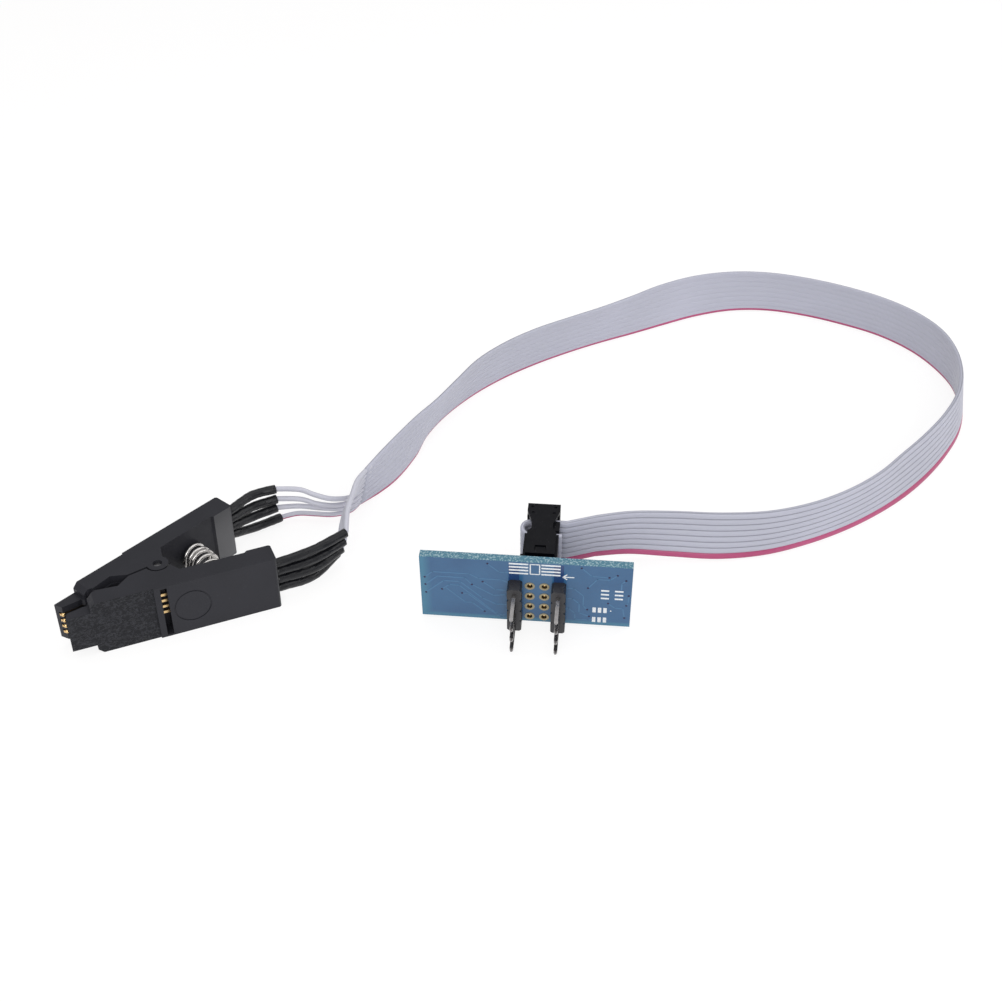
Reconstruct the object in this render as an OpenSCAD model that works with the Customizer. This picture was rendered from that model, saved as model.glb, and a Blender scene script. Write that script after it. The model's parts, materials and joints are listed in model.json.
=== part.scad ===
// Test clip for an eight-lead surface-mount chip. Two identical levers turn on
// a pin, a coil spring holds the jaws shut, and four gold contacts in each jaw
// press on the chip's leads. A flat ribbon cable runs to a folded-back socket,
// and an adapter board with two pin rows plugs into that socket.
//
// Millimetres. The clip lies on its side: +Z is the hinge pin, -X is where the
// jaws point, and the origin is the middle of the clip's base.

/* [Clip levers] */
// Width of each lever, along the hinge pin
lever_w = 11; // [10.8:0.1:12]
// Length of a lever from the pin's axis to its rear end
handle_len = 19.5; // [18.5:0.5:22]
// Length of a lever from the pin's axis to its front shoulder
shoulder_len = 13.1; // [12.7:0.1:13.5]
// Distance from a lever's outer face to the pin's axis
web_h = 7; // [6.9:0.1:7.6]
// Thickness of the handle
handle_t = 3.9; // [3.8:0.1:4.2]
// Thickness of the lever between its cheeks
core_t = 3.3; // [3.2:0.1:3.6]
// Angle between each outer face and the clip's middle plane
half_angle = 13.5; // [12.5:0.5:15]
// Length of the thicker block at the rear end
end_block_len = 4.3; // [3:0.1:6]
// Height of that block above the handle's inner face
end_block_rise = 0.4; // [0.2:0.1:0.8]
// Depth that the grained front face lies below the handle's face
grip_step = 0.3; // [0.1:0.1:0.4]
// Thickness of each cheek, along the pin
cheek_t = 3; // [2.9:0.1:3.1]
// Gap between a lever's cheeks and the middle plane
split_gap = 0.2; // [0.15:0.05:0.3]

/* [Nose] */
// Length of the nose beyond the shoulder
nose_len = 4.2; // [3.9:0.1:4.6]
// Width of the nose, along the pin
nose_w = 7.2; // [7:0.1:8]
// Bevel on the shoulder's corners
shoulder_bevel = 0.9; // [0.4:0.1:1.2]
// Depth of the nose at its tip
nose_tip_t = 1.9; // [1.8:0.05:2.2]
// Depth of the nose at its root
nose_root_t = 2.6; // [2.3:0.1:3]
// Height of the comb's teeth behind the nose
comb_t = 3.65; // [3.4:0.05:3.7]
// Length of those teeth
comb_len = 2.2; // [1.6:0.1:3]

/* [Hinge] */
// Radius of the ears round the pin
ear_r = 1.9; // [1.7:0.05:2.1]
// Room round an ear in the other lever
ear_clear = 0.3; // [0.2:0.05:0.5]
// Gap between two ears, along the pin
leaf_gap = 0.1; // [0.05:0.05:0.2]
// Radius of the hinge pin
pin_r = 0.8; // [0.6:0.05:0.95]
// Running clearance round the pin
pin_clear = 0.03; // [0.02:0.01:0.05]
// Depth of each pin end below the lever's side
pin_sink = 0.6; // [0.2:0.1:1]

/* [Contacts] */
// Pitch of the chip's leads, and of the ribbon's conductors
lead_pitch = 1.27; // [1.27]
// Width of a contact
contact_w = 0.5; // [0.4:0.05:0.55]
// Thickness of a contact
contact_t = 0.25; // [0.2:0.01:0.3]
// Radius of the rounded contact tip
tip_r = 0.4; // [0.3:0.02:0.4]
// Height that a contact stands clear of its slot's floor at the tip
tip_lift = 0.3; // [0.1:0.05:0.4]
// Depth of the floor that the contacts lie on, in the nose
nose_floor = 1; // [0.9:0.05:1.1]
// Depth of that floor in the handle
core_floor = 2.4; // [2.3:0.05:2.5]
// Width of each slot between the comb's teeth
slot_w = 0.86; // [0.84:0.01:0.9]
// Side clearance of a contact in its tunnel
tunnel_clear = 0.05; // [0.03:0.01:0.1]
// Length of the cross window that shows the contacts
window_len = 1.15; // [0.8:0.05:1.5]
// Length of the band in front of the window
band_len = 1.1; // [0.8:0.1:1.5]
// Wall left at each end of the window
window_rim = 0.35; // [0.3:0.05:0.6]

/* [Handle recess] */
// Radius of the plain round recess on the handle
disc_r = 3.3; // [2.8:0.1:3.6]
// Depth of its ring
disc_depth = 0.12; // [0.08:0.01:0.2]
// Width of its ring
disc_ring = 0.25; // [0.15:0.05:0.4]
// Distance of its centre behind the pin's axis
disc_u = 4; // [3.9:0.1:7]

/* [Spring] */
// Outer diameter of the coil
spring_d = 5.5; // [4.8:0.1:5.7]
// Diameter of the spring's wire
spring_wire = 0.6; // [0.45:0.05:0.65]
// Number of turns
spring_turns = 7; // [5:1:8]
// Distance of the coil behind the pin's axis
spring_u = 9.4; // [9:0.2:10.4]
// Height of the boss that holds each end of the coil
boss_h = 0.9; // [0.6:0.1:1.2]

/* [Cable] */
// Thickness of the ribbon
ribbon_t = 0.9; // [0.8:0.05:1]
// Diameter of one split strand
strand_d = 1; // [0.8:0.05:1.1]
// Diameter of a shrink sleeve
sleeve_d = 1.8; // [1.6:0.05:1.8]
// Pitch of the sleeves at the rear of a lever
sleeve_pitch = 1.85; // [1.82:0.01:1.9]
// Length of sleeve held inside the lever
sleeve_grip = 2; // [1.5:0.1:2.5]

/* [Socket] */
// Pitch of the pins
pin_pitch = 2.54; // [2.54]
// Width across the two pin rows of the socket
socket_w = 6.1; // [5.9:0.1:6.4]
// Length of the socket between its latch arms
socket_len = 11; // [10.8:0.1:11.6]
// Height of the socket's lower part
socket_h = 6.2; // [5.8:0.1:6.6]
// Height of the cover that presses the ribbon down
cover_h = 2.4; // [2.2:0.1:2.8]
// Height of the strain relief
relief_h = 2.7; // [2.4:0.1:3.2]
// Thickness of the strain relief's arms
arm_t = 0.7; // [0.6:0.05:0.9]
// Gap between the socket and the pin header that it is pushed onto
plug_gap = 1; // [0.5:0.1:1.5]
// Play of the ribbon between the socket's parts
ribbon_play = 0.05; // [0.03:0.01:0.1]

/* [Adapter board] */
// Length of the board
board_len = 36.8; // [36:0.2:42]
// Height of the board
board_w = 14.6; // [14:0.2:18]
// Thickness of the board
board_t = 1.6; // [1.2:0.1:2]
// Distance from the middle of the pin grid to the board's right end
grid_to_end = 16.4; // [12:0.1:18]
// Distance from the lowest pins to the board's lower edge
grid_to_edge = 1.27; // [1.2:0.01:2]
// Distance between the two outer pin rows
row_span = 7.62; // [7.62]
// Thickness of a pin header's plastic
header_t = 2.54; // [2.3:0.01:2.6]
// Side of a square pin
post_w = 0.64; // [0.6:0.01:0.66]
// Length of the outer pins beyond their plastic
post_out = 6; // [5.5:0.1:8]
// Length of the outer pins behind the board
post_back = 1.3; // [1:0.1:2]
// Length of the socket's pins beyond their plastic
post_in = 6; // [5.5:0.1:6.2]
// Diameter of the holes drilled in the board
drill_d = 1.1; // [1.05:0.01:1.2]
// Diameter of the gold rings round the holes
ring_d = 1.75; // [1.6:0.05:1.9]

/* [Hidden] */

eps = 0.01;
mid_z = lever_w / 2;
front_reach = (shoulder_len + nose_len) * cos(half_angle) + web_h * sin(half_angle);
rear_reach = handle_len * cos(half_angle)
    - (web_h - handle_t - end_block_rise) * sin(half_angle);
pivot_x = (front_reach - rear_reach) / 2;

// A lever is drawn in its own plan: u runs back along the outer face from the
// pin's axis, and v runs inward from the outer face.
cheek_rear_u = 3.2;
core_rear_u = 1.6;
rib_front_u = -window_len - band_len;
comb_front_u = -shoulder_len - 0.3;
comb_rear_u = comb_front_u + comb_len;
cheek_front_r = 1.7;
cheek_front_v = 2;
ramp_front_u = -shoulder_len;
ramp_rear_u = -shoulder_len + 5.1;
contact_tip_u = -shoulder_len - nose_len + 0.1;
pocket_u = handle_len - sleeve_grip;
fan_rear_u = pocket_u - 4;
sleeve_v = 2.25;
tunnel_h = 0.5;
notch_r = ear_r + ear_clear;

// Heights of the four contacts at the nose, and of the sleeves at the rear
function contact_z(i) = mid_z + (i - 2.5) * lead_pitch;
function sleeve_z(i) = mid_z + (i - 2.5) * sleeve_pitch;

// A point of the clip's plan, counted from the pin, in a lever's own plan
function lever_uv(x, y) = [x * cos(half_angle) + y * sin(half_angle),
    web_h + x * sin(half_angle) - y * cos(half_angle)];
// A point of the left lever's plan, counted from the pin, in the clip's plan
function clip_xy(u, v) = [
    u * cos(half_angle) - (web_h - v) * sin(half_angle),
    u * sin(half_angle) + (web_h - v) * cos(half_angle)];

// ---- Sweeps ----------------------------------------------------------------

// Point at share t of the step between p1 and p2, on a curve through all four
function spline_point(p0, p1, p2, p3, t) =
    0.5 * (2 * p1 + (p2 - p0) * t + (2 * p0 - 5 * p1 + 4 * p2 - p3) * t * t
        + (3 * p1 - p0 - 3 * p2 + p3) * t * t * t);

// Smooth curve through the route's points, with the same steps between any two
function smooth(route, steps) = let (last = len(route) - 1) concat(
    [for (k = [0:last - 1], s = [0:steps - 1]) spline_point(
        route[max(k - 1, 0)], route[k], route[k + 1], route[min(k + 2, last)],
        s / steps)],
    [route[last]]);

function xyz(p) = [p[0], p[1], p[2]];
function unit(a) = a / norm(a);
function heading(path, k) = let (last = len(path) - 1)
    unit(xyz(path[min(k + 1, last)]) - xyz(path[max(k - 1, 0)]));

// Round ring of n points across a path that is never upright
function round_ring(path, k, r, n) = let (
        ahead = heading(path, k),
        side = unit(cross([0, 0, 1], ahead)),
        up = cross(ahead, side))
    [for (j = [0:n - 1]) let (t = 360 * (j + 0.5) / n)
        xyz(path[k]) + r * cos(t) * side + r * sin(t) * up];

// Closed skin over rings that all have the same number of points
module skin(rings) {
    n = len(rings);
    m = len(rings[0]);
    polyhedron(
        points = [for (ring = rings) each ring],
        faces = concat(
            [[for (j = [0:m - 1]) j]],
            [[for (j = [m - 1:-1:0]) (n - 1) * m + j]],
            [for (k = [0:n - 2], j = [0:m - 1])
                [k * m + j, (k + 1) * m + j, k * m + (j + 1) % m]],
            [for (k = [0:n - 2], j = [0:m - 1])
                [k * m + (j + 1) % m, (k + 1) * m + j, (k + 1) * m + (j + 1) % m]]));
}

module cord(route, d, steps) {
    path = smooth(route, steps);
    skin([for (k = [0:len(path) - 1]) round_ring(path, k, d / 2, 8)]);
}

// ---- Levers ----------------------------------------------------------------

// Places a lever's own plan in the clip: the right lever is the same moulding,
// turned over about the clip's long axis
module on_lever(side) {
    if (side == "left") {
        translate([pivot_x, 0, 0])
            rotate([0, 0, half_angle])
                translate([0, web_h, 0])
                    mirror([0, 1, 0])
                        children();
    } else {
        translate([0, 0, lever_w])
            rotate([180, 0, 0])
                on_lever("left")
                    children();
    }
}

// Extrudes a (u, z) outline inward from v = from
module inward(from, depth) {
    translate([0, from + depth, 0])
        rotate([90, 0, 0])
            linear_extrude(depth)
                children();
}

module handle_outline() {
    block_v = handle_t + end_block_rise;
    block_u = handle_len - end_block_len;
    corner = 0.3;
    polygon([
        [-shoulder_len, grip_step],
        [rib_front_u, grip_step],
        [rib_front_u, 0],
        [handle_len - corner, 0],
        [handle_len, corner],
        [handle_len, block_v - corner],
        [handle_len - corner, block_v],
        [block_u, block_v],
        [block_u - end_block_rise, handle_t],
        [cheek_rear_u, handle_t],
        [core_rear_u, core_t],
        [-shoulder_len, core_t]]);
}

// Cheek from the handle to the ear, cut away before the pin so that the two
// levers leave a kite-shaped gap between them, kite_y deep on each side
module cheek_outline(kite_y) {
    polygon([
        [cheek_rear_u, handle_t], [cheek_rear_u, grip_step],
        [-shoulder_len, grip_step], [-shoulder_len, cheek_front_v],
        [cheek_front_r - shoulder_len, cheek_front_v + cheek_front_r],
        lever_uv(-12.3, split_gap), lever_uv(-8.2, kite_y), lever_uv(-5.6, split_gap),
        lever_uv(-ear_r * 0.6, split_gap), [0, web_h], [ear_r * 0.9, web_h - ear_r * 0.4]]);
    translate([cheek_front_r - shoulder_len, cheek_front_v])
        circle(r = cheek_front_r, $fn = 48);
    translate([0, web_h])
        circle(r = ear_r, $fn = 64);
}

module nose_outline() {
    tip_u = -shoulder_len - nose_len;
    polygon([
        [comb_rear_u, grip_step],
        [tip_u, grip_step],
        [tip_u + 0.4, nose_tip_t],
        [-shoulder_len - 1, nose_root_t],
        [-shoulder_len, nose_root_t],
        [comb_rear_u, core_t]]);
}

// Teeth with a rounded front
module comb_outline() {
    round_r = 1.2;
    translate([comb_front_u + round_r, nose_root_t - 0.5])
        square([comb_len - round_r, comb_t - nose_root_t + 0.5]);
    translate([comb_front_u + round_r, comb_t - round_r])
        circle(r = round_r, $fn = 36);
}

module fan_outline(i, w, from, to) {
    polygon([
        [from, contact_z(i) - w / 2],
        [cheek_rear_u, contact_z(i) - w / 2],
        [fan_rear_u, sleeve_z(i) - w / 2],
        [to, sleeve_z(i) - w / 2],
        [to, sleeve_z(i) + w / 2],
        [fan_rear_u, sleeve_z(i) + w / 2],
        [cheek_rear_u, contact_z(i) + w / 2],
        [from, contact_z(i) + w / 2]]);
}

module comb_slot(i) {
    translate([0, 0, contact_z(i) - slot_w / 2])
        linear_extrude(slot_w)
            polygon([
                [contact_tip_u - 1, nose_floor],
                [ramp_front_u, nose_floor],
                [ramp_rear_u, core_floor],
                [ramp_rear_u, web_h],
                [contact_tip_u - 1, web_h]]);
}

// Room for the other lever's ears: each lever carries one outer ear and one
// inner ear, so that two of the same moulding interleave
module ear_notches() {
    translate([0, web_h, lever_w - cheek_t - leaf_gap / 2])
        cylinder(h = cheek_t / 2 + leaf_gap, r = notch_r, $fn = 64);
    translate([0, web_h, -1])
        cylinder(h = 1 + cheek_t / 2 + leaf_gap / 2, r = notch_r, $fn = 64);
}

// Each cheek is two layers: the outer one runs to the shoulder, the inner one
// stops behind the comb
module cheeks() {
    layer_t = cheek_t / 2;
    difference() {
        union() {
            for (z = [0, lever_w - layer_t])
                translate([0, 0, z])
                    linear_extrude(layer_t)
                        cheek_outline(1.6);
            for (z = [layer_t - eps, lever_w - cheek_t])
                translate([0, 0, z])
                    linear_extrude(layer_t + eps)
                        difference() {
                            cheek_outline(1.2);
                            translate([comb_rear_u - shoulder_len, 0])
                                square([shoulder_len, web_h]);
                        }
        }
        ear_notches();
        translate([0, web_h, -1])
            cylinder(h = lever_w + 2, r = pin_r + pin_clear, $fn = 48);
    }
}

module disc_ring() {
    translate([disc_u, disc_depth, mid_z])
        rotate([90, 0, 0])
            difference() {
                cylinder(h = disc_depth + 1, r = disc_r, $fn = 72);
                translate([0, 0, -1])
                    cylinder(h = disc_depth + 3, r = disc_r - disc_ring, $fn = 72);
            }
}

module lever() {
    nose_z = mid_z - nose_w / 2;
    difference() {
        union() {
            linear_extrude(lever_w)
                handle_outline();
            cheeks();
            translate([0, 0, nose_z])
                linear_extrude(nose_w) {
                    nose_outline();
                    comb_outline();
                }
            inward(core_t - 0.1, handle_t + boss_h - core_t + 0.1)
                translate([spring_u, mid_z])
                    circle(d = spring_d - 2 * spring_wire - 0.5, $fn = 48);
        }
        // Cross window over the contacts
        translate([-window_len, -1, window_rim])
            cube([window_len, 1 + core_floor + tunnel_h, lever_w - 2 * window_rim]);
        // Slots of the comb and tunnels of the contacts
        for (i = [1:4]) {
            comb_slot(i);
            inward(core_floor, tunnel_h)
                fan_outline(i, contact_w + 2 * tunnel_clear, ramp_rear_u - eps, pocket_u + eps);
        }
        // Pocket that holds the sleeves
        translate([pocket_u, sleeve_v - sleeve_d / 2 - 0.05, sleeve_z(1) - sleeve_d / 2 - 0.05])
            cube([sleeve_grip + 1, sleeve_d + 0.1, 3 * sleeve_pitch + sleeve_d + 0.1]);
        disc_ring();
        for (z = [0, lever_w])
            translate([-shoulder_len, 0, z])
                rotate([0, 45, 0])
                    cube([shoulder_bevel * sqrt(2), 2 * web_h,
                        shoulder_bevel * sqrt(2)], center = true);
    }
}

module left_lever() {
    color("#232429")
        on_lever("left") lever();
}

module right_lever() {
    color("#2b2c31")
        on_lever("right") lever();
}

module hinge_pin() {
    color("silver")
        translate([pivot_x, 0, pin_sink])
            cylinder(h = lever_w - 2 * pin_sink, r = pin_r, $fn = 48);
}

// ---- Spring ----------------------------------------------------------------

// The coil stands on both inner faces, so its axis is an arc whose ends are
// square to them
seat_lift = 0.1;
spring_seat = clip_xy(spring_u, handle_t + seat_lift);
spring_bow = spring_seat[1] / sin(half_angle);
function coil_centre(t) = [pivot_x + spring_seat[0] + spring_bow * (cos(t) - cos(half_angle)),
    spring_bow * sin(t), mid_z];

module spring() {
    per_turn = 16;
    n = spring_turns * per_turn;
    r = (spring_d - spring_wire) / 2;
    // The end turns sit half a wire inside the seats
    reach = half_angle * (1 - spring_wire * 0.62 / spring_seat[1]);
    path = [for (k = [0:n]) let (
            t = reach * (1 - 2 * k / n),
            round = 360 * k / per_turn)
        coil_centre(t) + r * cos(round) * [cos(t), sin(t), 0] + [0, 0, r * sin(round)]];
    color("gainsboro")
        skin([for (k = [0:n]) let (
                t = reach * (1 - 2 * k / n),
                out = unit(path[k] - coil_centre(t)),
                along = cross(out, heading(path, k)))
            [for (j = [0:5]) path[k] + spring_wire / 2
                * (cos(60 * j) * out + sin(60 * j) * along)]]);
}

// ---- Contacts --------------------------------------------------------------

// A leaf that lies in its tunnel and reaches free through the comb to a
// rounded tip, which stands just proud of the nose
module contact(i) {
    tip_v = nose_floor + tip_lift;
    translate([0, 0, contact_z(i) - contact_w / 2])
        linear_extrude(contact_w)
            polygon([
                [contact_tip_u, tip_v],
                [ramp_rear_u, core_floor],
                [cheek_rear_u, core_floor],
                [cheek_rear_u, core_floor + contact_t],
                [ramp_rear_u, core_floor + contact_t],
                [contact_tip_u, tip_v + contact_t]]);
    inward(core_floor, contact_t)
        fan_outline(i, contact_w, cheek_rear_u - eps, pocket_u);
    translate([contact_tip_u + tip_r, tip_v + contact_t + tip_r / 2, contact_z(i)])
        sphere(r = tip_r, $fn = 24);
}

module contact_of(side, i) {
    color("goldenrod")
        on_lever(side) contact(i);
}

// ---- Sleeves and strands ---------------------------------------------------

// Ends of the sleeves, lowest first, counted from the pin. The left ones end
// square to a circle about the pin, so that they pass the strands as they turn.
left_sleeve_ends = [
    [29.6, 10.3, 1.3],
    [28.6, 9.6, 4.5],
    [28.8, 9.6, 6.5],
    [28.9, 9.9, 8.6]];
left_sleeve_bends = [
    [24, 10.5, 1.3],
    [23.6, 10.3, 4.1],
    [24, 10.5, 6.2],
    [24.3, 10.9, 8.5]];
right_sleeve_ends = [
    [31.8, -6.9, 2.4],
    [31.9, -8.5, 4.5],
    [32.2, -9.2, 6.6],
    [32.5, -9.5, 8.6]];
right_sleeve_bends = [
    [25.4, -9, 1.6],
    [25.5, -9.8, 4],
    [25.5, -10, 6.2],
    [25.5, -10, 8.3]];
function from_pin(p) = p + [pivot_x, 0, 0];

function sleeve_root(side, i, u) = let (p = clip_xy(u, sleeve_v))
    [p[0], side == "left" ? p[1] : -p[1], sleeve_z(i)];
function sleeve_end(side, i) =
    side == "left" ? left_sleeve_ends[i - 1] : right_sleeve_ends[i - 1];
function sleeve_route(side, i) = let (
        bend = side == "left" ? left_sleeve_bends[i - 1] : right_sleeve_bends[i - 1])
    [for (p = [sleeve_root(side, i, pocket_u), sleeve_root(side, i, handle_len),
        sleeve_root(side, i, handle_len + 1.2), bend, sleeve_end(side, i)]) from_pin(p)];

module sleeve(side, i) {
    color("#1b1b1e")
        cord(sleeve_route(side, i), sleeve_d, 3);
}

// Where the strands part from the ribbon: middle of its end, and its lean
ribbon_start = [45, 4.9, 5.1, -14];
ribbon_heading = 19;
function ribbon_up(lean, toward) =
    [-sin(lean) * sin(toward), sin(lean) * cos(toward), cos(lean)];
// Middle of conductor k of the ribbon's start, from the red one, 0, upward
function conductor_start(k) = xyz(ribbon_start)
    + (k - 3.5) * lead_pitch * ribbon_up(ribbon_start[3], ribbon_heading);

// Points of each strand between its sleeve and the ribbon, lowest first
left_strand_bends = [
    [[32.8, 9.3, 1.4], [35.4, 7, 1.5], [38, 5, 1.4], [41.5, 4.6, 1]],
    [[32.4, 7.9, 4.2], [35.6, 5.8, 3.6], [38.6, 4.6, 2.8], [41.8, 4.2, 2.2]],
    [[32.7, 7.6, 5.9], [35, 5.4, 5.1], [38, 4.2, 4.1], [41.6, 4, 3.4]],
    [[33, 8.2, 7.7], [35, 6, 6.9], [37.6, 4.3, 5.8], [41.4, 3.9, 4.7]]];
right_strand_bends = [
    [[33.6, -5, 3.4], [35.8, -2.4, 4.6], [38.6, 0.4, 5.4], [41.8, 3, 5.8]],
    [[33.7, -6.2, 5.4], [36, -3.2, 6.4], [38.8, -0.2, 6.9], [42, 2.6, 7]],
    [[33.8, -7, 7.2], [36, -3.9, 7.8], [38.8, -1, 8.2], [42, 2, 8.3]],
    [[34, -7.4, 8.9], [36.2, -4.3, 9.2], [38.9, -1.5, 9.4], [42.1, 1.7, 9.6]]];
strand_gap = 0.4;

function strand_route(side, i) = let (
        end = sleeve_end(side, i),
        bends = side == "left" ? left_strand_bends[i - 1] : right_strand_bends[i - 1],
        out = unit(bends[0] - end),
        start = side == "left" ? end + strand_gap * unit([end[0], end[1], 0]) : end,
        k = side == "left" ? i - 1 : i + 3)
    [for (p = concat([start, start + 0.8 * out], bends, [conductor_start(k)])) from_pin(p)];

module strand(side, i) {
    color(side == "left" && i == 1 ? "#c84f73" : "#c6c7d2")
        cord(strand_route(side, i), strand_d, 3);
}

// ---- Ribbon ----------------------------------------------------------------

// Route of the ribbon's middle line, counted from the pin: x, y, height, and
// the lean of its upper edge to the left of its way. It stands on the red edge.
ribbon_route = [
    ribbon_start,
    [54, 8.4, 5.2, -2],
    [62.4, 12.8, 5.2, -5],
    [69.4, 16.9, 5.2, -17],
    [77.2, 20.8, 5.2, -18],
    [86, 24.3, 5.2, -12],
    [95, 26.2, 5.2, -9],
    [104, 26.8, 5.2, -8],
    [113, 26.4, 5.2, -9],
    [122, 25.6, 5.2, -8],
    [131, 24.8, 5.2, -1],
    [140, 24.2, 5.2, 8],
    [149, 22.7, 5.2, 8],
    [157.4, 19.4, 5.2, 2],
    [164.3, 14, 5.2, -2],
    [169.6, 6.8, 5.2, -3],
    [173.7, -1.4, 5.2, -3],
    [176.6, -10, 5.2, -4],
    [177.4, -19, 5.2, -3],
    [175.8, -27.6, 5.2, -3],
    [171.9, -35.4, 5.2, -8],
    [165.8, -42, 5.2, -9],
    [158.4, -47.2, 5.2, -9],
    [150.1, -50.8, 5.2, -9],
    [141.4, -53.4, 5.2, -10],
    [132.6, -55.2, 5.2, -9],
    [123.6, -56.4, 5.2, -2],
    [114.6, -56.4, 5.2, 2],
    [105.8, -55.1, 5.2, 3],
    [97.5, -52.4, 5.2, 0],
    [89.7, -48, 5.4, -4],
    [82.6, -42.6, 5.8, -2],
    [76.2, -38.2, 6.3, 3],
    [70.1, -35.7, 6.8, 6]];
ribbon_w = 8 * lead_pitch;

// Section of the ribbon at a path point, eight points round
function ribbon_ring(p, toward) = let (
        up = ribbon_up(p[3], toward),
        out = cross([cos(toward), sin(toward), 0], up),
        h = ribbon_w / 2,
        t = ribbon_t / 2)
    [for (c = [[h - 0.3, t], [h, t / 3], [h, -t / 3], [h - 0.3, -t],
        [0.3 - h, -t], [-h, -t / 3], [-h, t / 3], [0.3 - h, t]])
        xyz(p) + c[0] * up - c[1] * out];

// Stretch inside the socket: in over the cover, round its edge and back under
// it. Points are (x, y) in the board's own frame.
under_y = board_t + header_t + plug_gap + socket_h + ribbon_play + ribbon_t / 2;
over_y = under_y + ribbon_t + cover_h + 2 * ribbon_play;
fold_r = (over_y - under_y) / 2;
fold_x = -1.9;
ribbon_tail = 0.5;
socket_path = concat(
    [[socket_w / 2 + 1.2, over_y, 176], [socket_w / 2, over_y, 180], [fold_x, over_y, 180]],
    [for (k = [1:7]) let (t = 22.5 * k)
        [fold_x - fold_r * sin(t), under_y + fold_r * (1 + cos(t)), 180 + t]],
    [[fold_x, under_y, 360], [socket_w / 2 + ribbon_tail, under_y, 360]]);

module ribbon_cable() {
    path = [for (p = smooth(ribbon_route, 2)) p + [pivot_x, 0, 0, 0]];
    last = len(path) - 1;
    loose = [for (k = [0:last]) let (ahead = heading(path, k))
        ribbon_ring(path[k], k == 0 ? ribbon_heading : atan2(ahead[1], ahead[0]))];
    held = [for (s = socket_path)
        [for (q = ribbon_ring([s[0], s[1], 0, 0], s[2])) board_point(q)]];
    color("#b9bac8")
        skin(concat(loose, held));
}

// ---- Adapter board's frame -------------------------------------------------

// The board leans on the floor with its back to the loop. Its own frame has x
// along it, y back through it and z up it, from the middle of the pin grid.
grid_pos = [51, -42.8, 5.65];
board_yaw = -41.8;
board_lean = 6;
grid_rows = [for (k = [-1.5:1:1.5]) k * pin_pitch];

module on_board() {
    translate(grid_pos + [pivot_x, 0, 0])
        rotate([board_lean, 0, board_yaw])
            children();
}

function board_point(p) = let (
        y = p[1] * cos(board_lean) - p[2] * sin(board_lean),
        z = p[1] * sin(board_lean) + p[2] * cos(board_lean))
    grid_pos + [pivot_x, 0, 0] + [
        p[0] * cos(board_yaw) - y * sin(board_yaw),
        p[0] * sin(board_yaw) + y * cos(board_yaw),
        z];

// Extrudes an (x, z) outline back from y = from
module back(from, depth) {
    translate([0, from + depth, 0])
        rotate([90, 0, 0])
            linear_extrude(depth)
                children();
}

// ---- Socket ----------------------------------------------------------------

socket_y = board_t + header_t + plug_gap;
cover_y = under_y + ribbon_t / 2 + ribbon_play;
relief_y = over_y + ribbon_t / 2 + ribbon_play;
cavity_w = 1.1;
spring_leaf_t = 0.15;

module grid_squares(w) {
    for (x = [-0.5, 0.5], z = grid_rows)
        translate([x * pin_pitch, z])
            square(w, center = true);
}

module socket_body() {
    key_w = 3.6;
    color("#202125")
        on_board()
            difference() {
                union() {
                    back(socket_y, socket_h)
                        square([socket_w, socket_len], center = true);
                    // Polarising key on one long side
                    translate([-socket_w / 2 - 0.7, socket_y, -key_w / 2])
                        cube([0.8, socket_h - 1.6, key_w]);
                    // Lugs that the latch windows snap over
                    for (s = [-1, 1])
                        translate([-0.9, socket_y + 1.5, s > 0 ? socket_len / 2 - eps : -socket_len / 2 - 0.5])
                            cube([1.8, 1, 0.5 + eps]);
                }
                back(socket_y - 1, socket_h + 0.2)
                    grid_squares(cavity_w);
                // Shallow seat for the ribbon's eight conductors
                for (k = [-3.5:1:3.5])
                    translate([-socket_w, socket_y + socket_h + 0.25, k * lead_pitch])
                        rotate([0, 90, 0])
                            cylinder(h = 2 * socket_w, r = 0.45, $fn = 24);
            }
}

module socket_contacts() {
    // A leaf beside each pin, standing clear of it
    leaf_x = post_w / 2 + 0.06;
    color("goldenrod")
        on_board()
            for (x = [-0.5, 0.5], z = grid_rows)
                translate([x * pin_pitch + leaf_x, socket_y + 0.8, z - 0.35])
                    cube([spring_leaf_t, socket_h - 2.2, 0.7]);
}

module socket_cover() {
    color("#222327")
        on_board()
            difference() {
                back(cover_y, cover_h)
                    translate([fold_x + 0.4, -socket_len / 2])
                        square([socket_w / 2 - fold_x - 0.4, socket_len]);
                for (x = [-0.5, 0.5], z = grid_rows)
                    translate([x * pin_pitch - 0.25, cover_y - 1, z - 0.4])
                        cube([0.5, 1.8, 0.8]);
            }
}

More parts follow.
